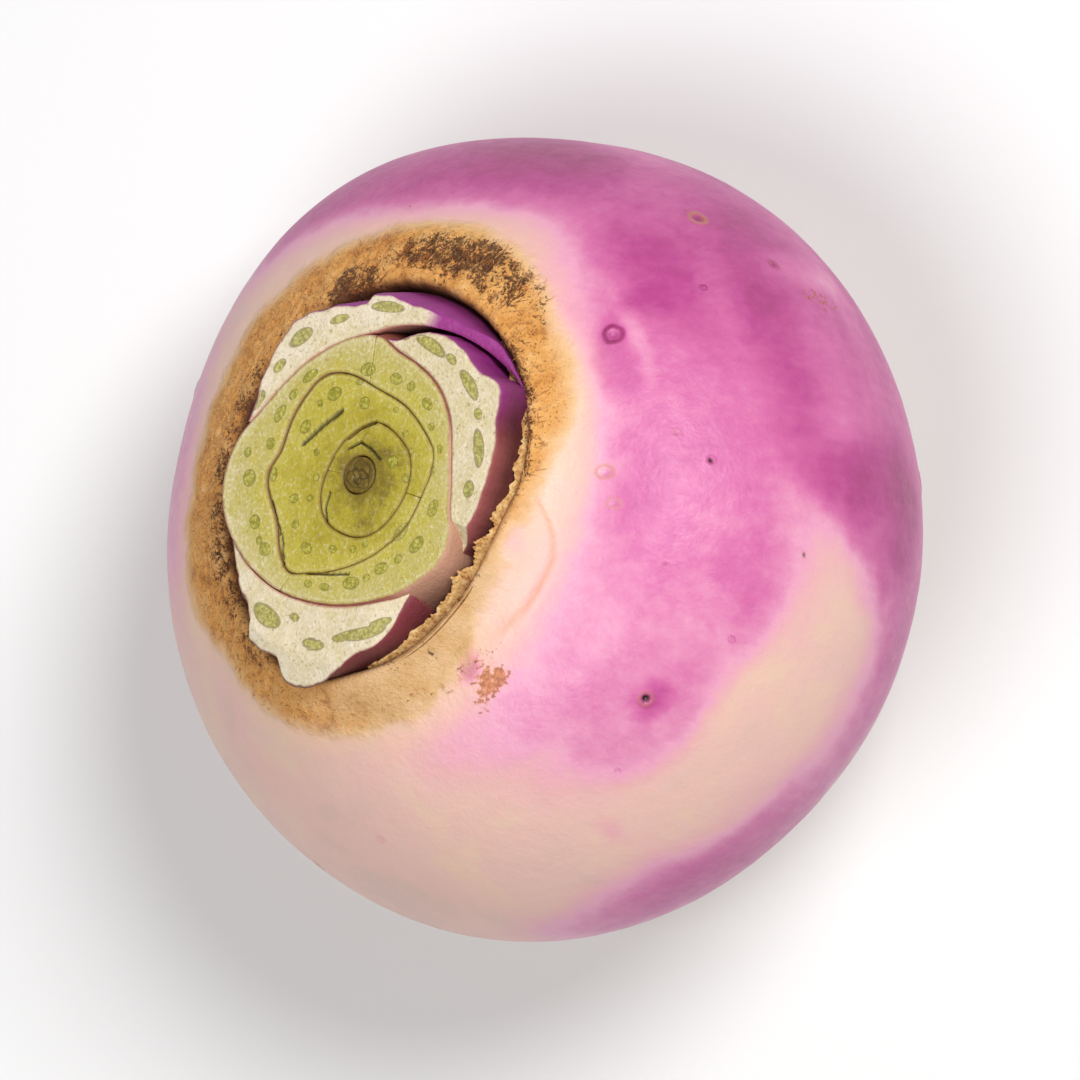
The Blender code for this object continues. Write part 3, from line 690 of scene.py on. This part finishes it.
def leaf_base(details, finish):
    """One leaf base: a crescent wall from the crown floor up to the knife cut."""
    (name, inner_ring, outer_ring, first, last, inner_spread, outer_spread, cut_heights,
     green_inside, green_outside, hue, ragged) = details
    step = 0.66       # degrees
    section = [(SECTION_START + share, level) for share, level in leaf_section()]
    mesh = turned_part_way(section, first, last, round((last - first) / step))
    flat = coordinates(mesh)
    across = np.hypot(flat[:, 0], flat[:, 1]) - SECTION_START
    level = flat[:, 2]
    azimuth = np.degrees(np.arctan2(flat[:, 1], flat[:, 0]))
    azimuth = first + np.mod(azimuth - first + 1e-3, 360.0) - 1e-3

    lined_up = np.column_stack((azimuth * 0.2, np.zeros_like(azimuth), np.zeros_like(azimuth)))
    tear = ragged * (grain(lined_up, 2.2, 3, hue * 7) + 0.6 * grain(lined_up, 0.6, 2, hue * 5))
    narrow = 1.0 if name.startswith("outer") else 0.3
    inside = ring(inner_ring, azimuth) + narrow * GAP / 2
    outside = ring(outer_ring, azimuth) - narrow * GAP / 2 + tear
    nearest = np.minimum(azimuth - first, last - azimuth)
    tip, reach = OUTER_TIP if name.startswith("outer") else INNER_TIP
    share = tip + (1 - tip) * np.sin(np.radians(90 * np.clip(nearest / reach, 0, 1)))
    outside = inside + np.maximum(0.1, outside - inside) * share
    foot_outside = outside + (outer_spread or 0.0)
    if outer_spread is None:
        foot_outside = 0.94 * ring(RIM_RADIUS, azimuth) - 0.2
    drop = 1 - level
    wall = np.where(across > 0.5, outside + (foot_outside - outside) * drop ** 0.75,
                    inside + inner_spread * drop)
    on_cut = level > CUT_LEVEL - 1e-6
    radius = np.where(on_cut, inside + (outside - inside) * across, wall)
    cut = np.interp(azimuth, [a for a, _ in cut_heights], [h for _, h in cut_heights])
    height = LEAF_FOOT + (cut - LEAF_FOOT) * level
    edge_gap = np.minimum(across, 1 - across) * (outside - inside)
    turn = np.radians(azimuth)
    places = np.column_stack((radius * np.cos(turn), radius * np.sin(turn)))
    spot = np.column_stack((places, np.zeros(len(places))))
    bundle = bundle_cover(places) * on_cut
    slit = slit_cover(places) * on_cut
    rough = grain(spot, 1.1, 3, 13.0)
    fine = grain(spot, 0.45, 2, 17.0)
    cut_relief = 0.045 * rough + 0.02 * fine - 0.05 * smooth(0.22, 0.0, edge_gap)
    cut_relief += 0.05 * bundle * (0.4 + fine) - 0.35 * slit
    cut_relief += ragged * 0.5 * grain(spot, 3.0, 2, 3.0) - 0.45 * np.maximum(0, radius - 16.6)
    height = height + np.where(on_cut, cut_relief, 0.0)
    top_of_wall = smooth(0.6, 1.0, level) * ~on_cut
    height = height + top_of_wall * (ragged * 0.5 * grain(spot, 3.0, 2, 3.0)
                                     - 0.45 * np.maximum(0, radius - 16.6) - 0.10)
    creases = 0.05 * grain(np.column_stack((azimuth * 0.25, level * 2.0, azimuth * 0)), 1.2, 3, 2.0)
    radius = radius + np.where(on_cut, 0.0, creases)
    real = np.column_stack((radius * np.cos(turn), radius * np.sin(turn), height))
    move_to(mesh, real)
    masks = {
        "cut": on_cut * smooth(0.0, 0.12, edge_gap), "bundle": bundle, "slit": slit,
        "margin": on_cut * smooth(0.55, 0.05, edge_gap),
        "green": green_inside + (green_outside - green_inside) * across,
        "hue": np.where(across > 0.5, hue, 0.16),
        # low: painted shade, darker down the outer walls towards the crown floor
        "low": smooth(29.0, 25.4, height),
    }
    if name == "middle_leaf_base_right":
        masks["hue"] = 0.12 + 0.33 * smooth(30.0, 50.0, azimuth) + 0.3 * smooth(-36, -60, azimuth)
    if name == "outer_leaf_base_right":
        masks["hue"] = np.where(across > 0.5, 0.42 + 0.5 * smooth(22.0, 48.0, azimuth), 0.16)
        # painted shade low on the right leaf base's outer wall
        masks["low"] = smooth(29.4, 26.6, height) * smooth(60.0, 30.0, azimuth)
    if name == "outer_leaf_base_upper":
        masks["cut"] = masks["cut"] * smooth(80.0, 87.0, azimuth)
        masks["hue"] = np.where(azimuth < 86, 0.9 + 0.1 * across, masks["hue"])
        # painted shade on the lower part of the purple flank, below the cut edge
        masks["low"] = 0.8 * smooth(27.2, 24.8, height)
    return finished(name + "_flesh", mesh, masks, finish, [name])


HEART_RADIUS, HEART_TOP, HEART_STEPS = 1.62, 29.25, 72


def heart_bud(finish):
    """The growing tip: cut leaf buds wrapped round each other."""
    profile = [(0.0, LEAF_FOOT)] + [(HEART_RADIUS, LEAF_FOOT + 0.4 * k) for k in range(14)]
    profile += [(1.58, 29.18), (1.5, 29.24)] + [(1.5 - 0.1 * k, HEART_TOP) for k in range(1, 16)]
    mesh = turned(profile, HEART_STEPS)
    plain = coordinates(mesh)
    radius = np.hypot(plain[:, 0], plain[:, 1])
    azimuth = np.degrees(np.arctan2(plain[:, 1], plain[:, 0]))
    factor = (ring(HEART_EDGE, azimuth) - GAP / 2) / HEART_RADIUS
    plain[:, 0] *= factor
    plain[:, 1] *= factor
    top = smooth(28.9, 29.2, plain[:, 2])
    wobble = 0.16 * np.sin(np.radians(3 * azimuth)) + 0.10 * np.sin(np.radians(5 * azimuth + 40))
    buds = smooth(0.16, 0.0, np.abs(radius - 0.62 - wobble))
    buds += 0.7 * smooth(0.14, 0.0, np.abs(radius - 1.18 + wobble))
    plain[:, 2] += top * (0.05 * grain(plain, 0.5, 3, 4.0) - 0.16 * np.clip(buds, 0, 1)
                          - 0.25 * smooth(0.35, 0.0, radius))
    move_to(mesh, plain)
    masks = {"cut": top, "rings": np.clip(buds, 0, 1) * top}
    return finished("heart_bud_flesh", mesh, masks, finish, ["heart_bud"])


# ---------------------------------------------------------------- the corky rim
SHEATH_FOOT, SHEATH_STEPS = 24.0, 420
# Height of the torn sheath's edge over the rim, by azimuth
SHEATH_TOP = ((-72, -0.7), (-60, -0.3), (-50, -0.2), (-40, 0.0), (-30, 0.1), (-24, 0.9), (-17, 0.1),
              (-8, 1.2), (-2, 0.2), (4, 0.9), (12, -0.2), (22, 0.3), (34, -0.3), (42, 0.3),
              (52, -0.2), (66, -0.7))


def corky_rim(finish):
    """The rough ring of cork round the crown, standing out of the skin where it is thickest."""
    steps = 760
    inner = [(16.92, 23.9), (16.93, 24.2), (16.95, 24.5), (17.0, 24.8), (17.1, 25.1)]
    crest = [(17.25, 25.35), (17.4, 25.47), (17.6, 25.53), (17.8, 25.52), (18.0, 25.46)]
    outside = arc_profile(30.6, 45.5, 0.24)
    mesh = turned(inner + crest + outside, steps)
    plain = coordinates(mesh)
    masks = skin_masks(plain)
    rough = 1 - 0.85 * masks["flat"]
    grainy = (masks["grainy"] - 0.5) / GRAIN_SHARE
    cork = masks["cork"]
    thick = cork * (0.20 + rough * 0.28 * grainy) - 0.10
    thick -= 0.25 * masks["stain"] * smooth(0.05, -0.25, grainy) * rough
    thick += relief_of_skin(plain, masks)
    inside = smooth(18.0, 17.0, np.hypot(plain[:, 0], plain[:, 1]))
    thick = thick * (1 - 0.6 * inside)
    real = bent(plain)
    facing = outward(mesh, real)
    real = real + facing * thick[:, None]
    move_to(mesh, real)
    masks["hollow_shade"] = hollow_shade_mask(plain)
    for skin_only in ("pit", "ring", "halo"):
        del masks[skin_only]
    return finished("corky_rim", mesh, masks, finish)


def torn_sheath(finish):
    """The torn edge of an old leaf's sheath, standing on the rim beside the right leaf bases."""
    first, last = SHEATH_TOP[0][0], SHEATH_TOP[-1][0]
    profile = [(SECTION_START, level / 10) for level in range(11)]
    profile += [(SECTION_START - 1, 1 - level / 10) for level in range(11)]
    mesh = turned_part_way(profile, first, last, SHEATH_STEPS)
    flat = coordinates(mesh)
    outer = np.hypot(flat[:, 0], flat[:, 1]) > SECTION_START - 0.5
    level = flat[:, 2]
    azimuth = np.degrees(np.arctan2(flat[:, 1], flat[:, 0]))
    row = np.column_stack((azimuth * 0.25, azimuth * 0, azimuth * 0))
    wave = grain(row, 2.0, 2, 71.0)
    fray = grain(row, 0.5, 3, 73.0)
    top = np.interp(azimuth, *zip(*SHEATH_TOP)) * (1 + 0.5 * fray) + 0.3 * fray
    top = top + ring(RIM_HEIGHT, azimuth)
    height = SHEATH_FOOT + (top - SHEATH_FOOT) * level
    radius = ring(RIM_RADIUS, azimuth) * 0.94 + 0.05 + 0.35 * wave * level ** 2
    radius += (0.40 - 0.32 * level ** 2) * outer - 0.45 * level ** 3 * (1 + 0.6 * fray)
    turn = np.radians(azimuth)
    real = np.column_stack((radius * np.cos(turn), radius * np.sin(turn), height))
    move_to(mesh, real)
    return finished("torn_sheath", mesh, {"edge": smooth(0.45, 1.0, level + 0.15 * fray)}, finish)


# Tufts of fibre on the cork: how many, azimuths, polar angles, lengths, how far they stand up,
# how much they turn from pointing outwards in degrees
TUFTS = {
    "dark_fibres": ((230, (70, 110), (30.5, 35.8), (0.5, 1.3), 0.2, 60),
                    (60, (112, 127), (28.0, 31.5), (0.4, 1.0), 0.25, 60),
                    (60, (-172, -138), (28.0, 32.0), (0.4, 0.8), 0.3, 60),
                    (24, (12, 62), (28.4, 29.4), (0.4, 0.8), 0.05, 95)),
    "golden_fibres": ((200, (64, 125), (31.0, 38.5), (0.4, 1.2), 0.2, 60),
                      (260, (128, 222), (29.0, 37.5), (0.3, 0.7), 0.5, 70),
                      (60, (8, 64), (29.0, 31.5), (0.4, 1.0), 0.12, 100),
                      (120, (-140, -95), (29.0, 37.0), (0.3, 0.7), 0.35, 70),
                      (16, (-88, -36), (34.0, 36.0), (0.3, 0.6), 0.3, 95)),
}
FIBRE_RADIUS = 0.055


def fibres(name, finish):
    """Loose fibres frayed from the cork, as thin cones lying along the skin."""
    draw = random.Random(name)
    mesh = bmesh.new()
    for count, azimuths, polars, lengths, stand, turn in TUFTS[name]:
        for _ in range(count):
            azimuth, polar = draw.uniform(*azimuths), draw.uniform(*polars)
            length = draw.uniform(*lengths)
            plain = on_skin(azimuth, polar)[None, :]
            foot = Vector(bent(plain)[0])
            away = Vector(bent(on_skin(azimuth, polar + 1)[None, :])[0])
            out = (away - foot).normalized()
            up = Vector((foot.x / EQUATOR_RADIUS ** 2, foot.y / EQUATOR_RADIUS ** 2,
                         foot.z / CUT_HEIGHT ** 2)).normalized()
            swing = Matrix.Rotation(math.radians(draw.uniform(-turn, turn)), 3, up)
            heading = (swing @ out + up * draw.uniform(0.0, stand)).normalized()
            middle = foot + up * 0.12 + heading * length / 2
            place = Matrix.Translation(middle) @ heading.to_track_quat("Z", "X").to_matrix().to_4x4()
            thick = FIBRE_RADIUS * draw.uniform(0.6, 1.4)
            bmesh.ops.create_cone(mesh, cap_ends=True, segments=4, radius1=thick,
                                  radius2=thick * 0.25, depth=length, matrix=place)
    return finished(name, mesh, {}, finish)


# ---------------------------------------------------------------- finishes of this turnip
CREAM = paint(232, 190, 178)
PALE_PINK = paint(232, 178, 178)
LILAC_PINK = paint(232, 162, 190)
PURPLE = paint(210, 108, 163)
DEEP_PURPLE = paint(184, 68, 138)
PLUM = paint(146, 44, 96)
GOLD_CORK = paint(216, 150, 74)
BROWN_CORK = paint(160, 92, 38)
DARK_CORK = paint(104, 60, 28)
SOOT = paint(52, 30, 18)
TAN = paint(198, 142, 86)
PALE_TAN = paint(238, 198, 154)
GREY_CREAM = paint(214, 184, 172)
YELLOW_CREAM = paint(232, 202, 172)


def skin_finish():
    """Waxy skin: purple over cream, with a corky crown, scabs, rings and pits."""
    skin = Finish("turnip_skin", Subsurface_Weight=0.2, Subsurface_Scale=1.6 * MM,
                  Subsurface_Radius=(1.0, 0.4, 0.3))
    place = skin.crown_place()
    streaks = skin.crown_place((1.0, 1.0, 5.0))
    broad = skin.cloud(place, 9.0, 3.0, 0.6, 0.4)
    fine = skin.cloud(place, 1.6, 5.0, 0.65, 0.2)
    drawn = skin.cloud(streaks, 1.2, 4.0, 0.7, 0.3)
    freckle = skin.cloud(place, 0.42, 2.0, 0.5)
    flush = skin.mask("flush")
    body = flush + (broad - 0.5) * 0.26 * skin.span(flush, 0.0, 0.3)
    body = body + (fine - 0.5) * 0.18 * skin.span(flush, 0.02, 0.3)
    body = skin.clamp(body + (drawn - 0.5) * 0.20 * skin.span(flush, 0.02, 0.35))
    colour = skin.ramp(body, (
        (0.0, CREAM), (0.14, PALE_PINK), (0.33, LILAC_PINK), (0.58, PURPLE), (0.8, DEEP_PURPLE),
        (1.0, PLUM)))
    # the cream has greyer and yellower places
    bare = 1 - skin.span(flush, 0.0, 0.22)
    colour = skin.blend(skin.span(broad, 0.48, 0.72) * bare * 0.6, colour, GREY_CREAM)
    colour = skin.blend(skin.span(broad, 0.5, 0.28) * bare * 0.6, colour, YELLOW_CREAM)
    # pale ring just outside the cork
    colour = skin.blend(skin.mask("halo") * 0.55, colour, PALE_TAN)
    # scabs and the rings round pits
    scab = skin.span(skin.mask("scab") * 0.8 + (freckle - 0.5) * 1.3 + (fine - 0.5) * 0.8, 0.42, 0.7)
    scab = scab * skin.span(skin.mask("scab"), 0.02, 0.4)
    colour = skin.blend(scab * 0.85, colour, skin.blend(skin.span(freckle, 0.4, 0.7),
                                                        paint(208, 130, 66), BROWN_CORK))
    colour = skin.blend(skin.mask("ring") * 0.8, colour, TAN)
    colour = skin.blend(skin.mask("scar") * 0.55, colour, paint(214, 140, 90))
    cork = skin.span(skin.mask("cork") + (fine - 0.5) * 0.3, 0.05, 0.5)
    colour = skin.blend(cork, colour, cork_colour(skin, place)[0])
    colour = skin.blend(skin.mask("pit"), colour, SOOT)
    # painted shade inside the rim, down into the crown
    colour = skin.blend(skin.mask("hollow_shade"), colour, DARK_CORK)
    skin.feed("Base Color", colour)
    rough = 0.36 + 0.14 * fine + 0.4 * cork + 0.2 * scab
    skin.feed("Roughness", skin.clamp(rough))
    skin.relief(fine * 0.10 + drawn * 0.04 + freckle * 0.02 + cork * fine * 0.25)
    return skin.material


def leaf_finish():
    """Cut leaf stalk: moist flesh with vein bundles, and a coloured outer skin below the cut."""
    flesh = Finish("leaf_base_flesh", Roughness=0.5)
    place = flesh.crown_place()
    upright = flesh.crown_place((1.0, 1.0, 6.0))
    grainy = flesh.cloud(place, 0.9, 4.0, 0.65, 0.3)
    crumbs = flesh.cloud(place, 0.32, 3.0, 0.6)
    lines = flesh.cloud(upright, 0.55, 3.0, 0.65)
    cells = flesh.cells(place, 0.28)
    green = flesh.mask("green")
    mottle = flesh.cloud(place, 2.4, 3.0, 0.6, 0.5)
    tone = flesh.clamp(green + (grainy - 0.5) * 0.34 + (mottle - 0.5) * 0.44)
    flesh_colour = flesh.ramp(tone, (
        (0.0, paint(232, 218, 194)), (0.2, paint(216, 200, 160)), (0.42, paint(194, 180, 108)),
        (0.65, paint(188, 174, 66)), (0.85, paint(170, 154, 40)), (1.0, paint(126, 108, 22))))
    crumb = flesh.span(crumbs, 0.52, 0.70) * (1 - green * 0.85)
    flesh_colour = flesh.blend(crumb * 0.65, flesh_colour, paint(240, 232, 212))
    pore = flesh.span(crumbs, 0.43, 0.30) * (1 - green * 0.5)
    flesh_colour = flesh.blend(pore * 0.65, flesh_colour, paint(146, 126, 78))
    cover = flesh.mask("bundle") + (crumbs - 0.5) * 0.4
    outline = flesh.span(cover, 0.15, 0.4) * flesh.span(cover, 0.85, 0.5)
    flesh_colour = flesh.blend(flesh.span(cover, 0.3, 0.8) * 0.8, flesh_colour,
                               flesh.blend(flesh.span(crumbs, 0.42, 0.62), paint(134, 130, 28),
                                           paint(184, 176, 78)))
    flesh_colour = flesh.blend(outline * 0.6, flesh_colour, paint(102, 92, 30))
    margin = flesh.span(flesh.mask("margin") + (grainy - 0.5) * 0.9, 0.6, 1.1)
    margin_colour = flesh.blend(green, paint(150, 100, 66), paint(118, 98, 26))
    flesh_colour = flesh.blend(margin * 0.38, flesh_colour, margin_colour)
    pale_rim = flesh.span(flesh.mask("margin"), 0.02, 0.3) * flesh.span(flesh.mask("margin"), 0.7, 0.3)
    flesh_colour = flesh.blend(pale_rim * (1 - green) * 0.5, flesh_colour, paint(228, 210, 180))
    flesh_colour = flesh.blend(flesh.mask("slit"), flesh_colour, paint(60, 50, 16))
    wall_colour = flesh.ramp(flesh.clamp(flesh.mask("hue") + (lines - 0.5) * 0.12), (
        (0.0, paint(190, 150, 110)), (0.15, paint(203, 146, 128)), (0.35, paint(160, 88, 84)),
        (0.55, paint(126, 48, 56)), (0.8, paint(132, 38, 100)), (1.0, paint(150, 42, 130))))
    wall_colour = flesh.blend(flesh.span(green, 0.3, 0.7), wall_colour, paint(120, 96, 30))
    # painted shade: the outer walls darken towards their foot in the crown
    dark = flesh.clamp(flesh.mask("low") * 0.8 + (grainy - 0.5) * 0.5 * flesh.mask("low"))
    wall_colour = flesh.blend(dark, wall_colour, paint(66, 26, 22))
    colour = flesh.blend(flesh.mask("cut"), wall_colour, flesh_colour)
    flesh.feed("Base Color", colour)
    flesh.feed("Roughness", flesh.clamp(0.42 + grainy * 0.2 + crumbs * 0.1))
    flesh.relief(grainy * 0.05 + crumbs * 0.06 + cells * 0.03 + lines * 0.04)
    return flesh.material


def heart_finish():
    """Dark olive growing tip with the outlines of the youngest leaves."""
    heart = Finish("heart_bud_flesh", Roughness=0.5)
    place = heart.crown_place()
    grainy = heart.cloud(place, 0.7, 4.0, 0.65, 0.3)
    crumbs = heart.cloud(place, 0.25, 2.0)
    tone = heart.ramp(grainy, ((0.3, paint(84, 66, 12)), (0.55, paint(112, 90, 22)),
                               (0.75, paint(140, 118, 36))))
    colour = heart.blend(heart.mask("rings") * 0.8, tone, paint(52, 38, 8))
    heart.feed("Base Color", colour)
    heart.feed("Roughness", heart.clamp(0.4 + crumbs * 0.3))
    heart.relief(grainy * 0.06 + crumbs * 0.05)
    return heart.material


def cork_colour(finish, place):
    """Cork: golden, with browner and paler places and dark flecks and cracks."""
    fine = finish.cloud(place, 0.5, 4.0, 0.7, 0.4)
    broad = finish.cloud(place, 3.0, 3.0, 0.6)
    speck = finish.cloud(place, 0.26, 3.0, 0.7)
    tone = finish.clamp(finish.mask("grainy") * 0.35 + fine * 0.45 + (broad - 0.5) * 0.95 + 0.10)
    colour = finish.ramp(tone, (
        (0.2, BROWN_CORK), (0.42, GOLD_CORK), (0.62, paint(226, 168, 96)),
        (0.85, paint(238, 194, 136))))
    cover = finish.mask("cork")
    colour = finish.blend((1 - finish.span(cover, 0.3, 0.95)) * 0.7, colour, PALE_TAN)
    parchment = finish.ramp(finish.clamp(broad * 0.9 + fine * 0.3 - 0.1), (
        (0.25, paint(178, 124, 66)), (0.42, paint(212, 168, 112)), (0.75, paint(228, 190, 148))))
    colour = finish.blend(finish.mask("flat") * 0.9, colour, parchment)
    specks = finish.span(speck, 0.55, 0.66) * finish.span(cover, 0.35, 0.95)
    colour = finish.blend(specks * 0.75 * (1 - finish.mask("flat") * 0.75), colour, DARK_CORK)
    stain = finish.mask("stain")
    sooty = stain * 0.62 + (speck - 0.5) * 1.1 + (fine - 0.5) * 0.8
    soot = finish.span(sooty - (finish.mask("grainy") - 0.5) * 0.9, 0.38, 0.62)
    soot = soot * finish.span(stain, 0.05, 0.4)
    dark = finish.ramp(speck, ((0.4, DARK_CORK), (0.62, SOOT)))
    return finish.blend(soot * 0.9, colour, dark), fine, speck


def cork_finish():
    """The corky rim, with painted shade where it turns down into the crown."""
    cork = Finish("crown_cork")
    colour, fine, speck = cork_colour(cork, cork.crown_place())
    # painted shade where the rim turns down into the crown
    colour = cork.blend(cork.mask("hollow_shade") * 0.85, colour, paint(88, 42, 26))
    cork.feed("Base Color", colour)
    cork.feed("Roughness", cork.clamp(0.65 + fine * 0.3 - 0.2 * cork.mask("flat")))
    cork.relief(fine * 0.14 + speck * 0.10)
    return cork.material


def sheath_finish():
    """Torn membrane: brown below, a cream ragged edge above."""
    sheath = Finish("torn_sheath_skin", Roughness=0.7)
    place = sheath.crown_place()
    fine = sheath.cloud(place, 0.5, 4.0, 0.7, 0.4)
    low = sheath.ramp(fine, ((0.3, paint(96, 46, 34)), (0.6, paint(160, 104, 62)),
                             (0.8, paint(190, 140, 90))))
    edge = sheath.ramp(fine, ((0.35, paint(150, 96, 46)), (0.5, paint(206, 158, 92)),
                              (0.7, paint(236, 206, 150))))
    sheath.feed("Base Color", sheath.blend(sheath.mask("edge"), low, edge))
    sheath.relief(fine * 0.1)
    return sheath.material


def fibre_finish(name, dark, light):
    """Dry plant fibre, darker and lighter in places."""
    fibre = Finish(name, Roughness=0.75)
    tone = fibre.cloud(fibre.crown_place(), 0.8, 2.0)
    fibre.feed("Base Color", fibre.ramp(tone, ((0.35, dark), (0.65, light))))
    fibre.relief(fibre.cloud(fibre.crown_place(), 0.1, 2.0) * 0.02)
    return fibre.material


# ---------------------------------------------------------------- floor, light and camera
def floor():
    """The pale surface that the root rests on."""
    surface = Finish("pale_floor", Base_Color=(0.8, 0.8, 0.8, 1.0), Roughness=0.6)
    mesh = bmesh.new()
    bmesh.ops.create_grid(mesh, x_segments=1, y_segments=1, size=2.0)
    data = bpy.data.meshes.new("pale_floor")
    mesh.to_mesh(data)
    mesh.free()
    data.materials.append(surface.material)
    piece = bpy.data.objects.new("pale_floor", data)
    bpy.context.scene.collection.objects.link(piece)


ROOT_MIDDLE = Vector((0, 0, 0.03))


def aimed(thing, place, target):
    """Puts a light at a place, looking at a target."""
    thing.location = place
    thing.rotation_euler = (Vector(target) - Vector(place)).to_track_quat("-Z", "Y").to_euler()


def soft_light(name, place, width, power):
    """A round studio light aimed at the root."""
    lamp = bpy.data.lights.new(name, "AREA")
    lamp.shape = "DISK"
    lamp.size = width
    lamp.energy = power
    light = bpy.data.objects.new(name, lamp)
    aimed(light, place, ROOT_MIDDLE)
    bpy.context.scene.collection.objects.link(light)


TOWARDS_CAMERA = Vector((0.13798, 0.06197, 0.98849))
IMAGE_RIGHT = Vector((0.90173, 0.40498, -0.15126))
IMAGE_UP = Vector((-0.40969, 0.91222, 0.0))
CAMERA_DISTANCE = 1.2
FRAME_WIDTH = 0.097             # width that the camera sees at the root, metres
CAMERA_TARGET = Vector((2.0, 0.0, 31.0)) * MM
SENSOR_WIDTH = 36.0


def camera():
    """A long lens nearly straight above the root, turned as the crown is seen."""
    lens = bpy.data.cameras.new("camera")
    lens.sensor_width = SENSOR_WIDTH
    lens.lens = SENSOR_WIDTH * CAMERA_DISTANCE / FRAME_WIDTH
    view = bpy.data.objects.new("camera", lens)
    axes = Matrix((IMAGE_RIGHT, IMAGE_UP, TOWARDS_CAMERA)).transposed()
    place = CAMERA_TARGET + TOWARDS_CAMERA * CAMERA_DISTANCE
    view.matrix_world = Matrix.Translation(place) @ axes.to_4x4()
    bpy.context.scene.collection.objects.link(view)
    bpy.context.scene.camera = view


def studio():
    """Even pale surroundings, a soft key light from the upper right and a softer fill."""
    world = bpy.data.worlds.new("soft_white")
    world.use_nodes = True
    world.node_tree.nodes["Background"].inputs["Color"].default_value = (1.0, 1.0, 1.0, 1.0)
    world.node_tree.nodes["Background"].inputs["Strength"].default_value = 0.17
    bpy.context.scene.world = world
    soft_light("key_light", ROOT_MIDDLE + TOWARDS_CAMERA * 0.8 + IMAGE_UP * 0.32 + IMAGE_RIGHT * 0.22,
               0.36, 5.9)
    soft_light("fill_light", ROOT_MIDDLE + TOWARDS_CAMERA * 0.9 - IMAGE_UP * 0.25 - IMAGE_RIGHT * 0.3,
               0.5, 5.0)
    bpy.context.scene.view_settings.view_transform = "Standard"


skin = skin_finish()
root_skin(skin)
corky_rim(cork_finish())
torn_sheath(sheath_finish())
fibres("dark_fibres", fibre_finish("dark_fibre", SOOT, BROWN_CORK))
fibres("golden_fibres", fibre_finish("golden_fibre", BROWN_CORK, paint(224, 176, 112)))
flesh = leaf_finish()
for details in LEAF_BASES:
    leaf_base(details, flesh)
heart_bud(heart_finish())
floor()
studio()
camera()
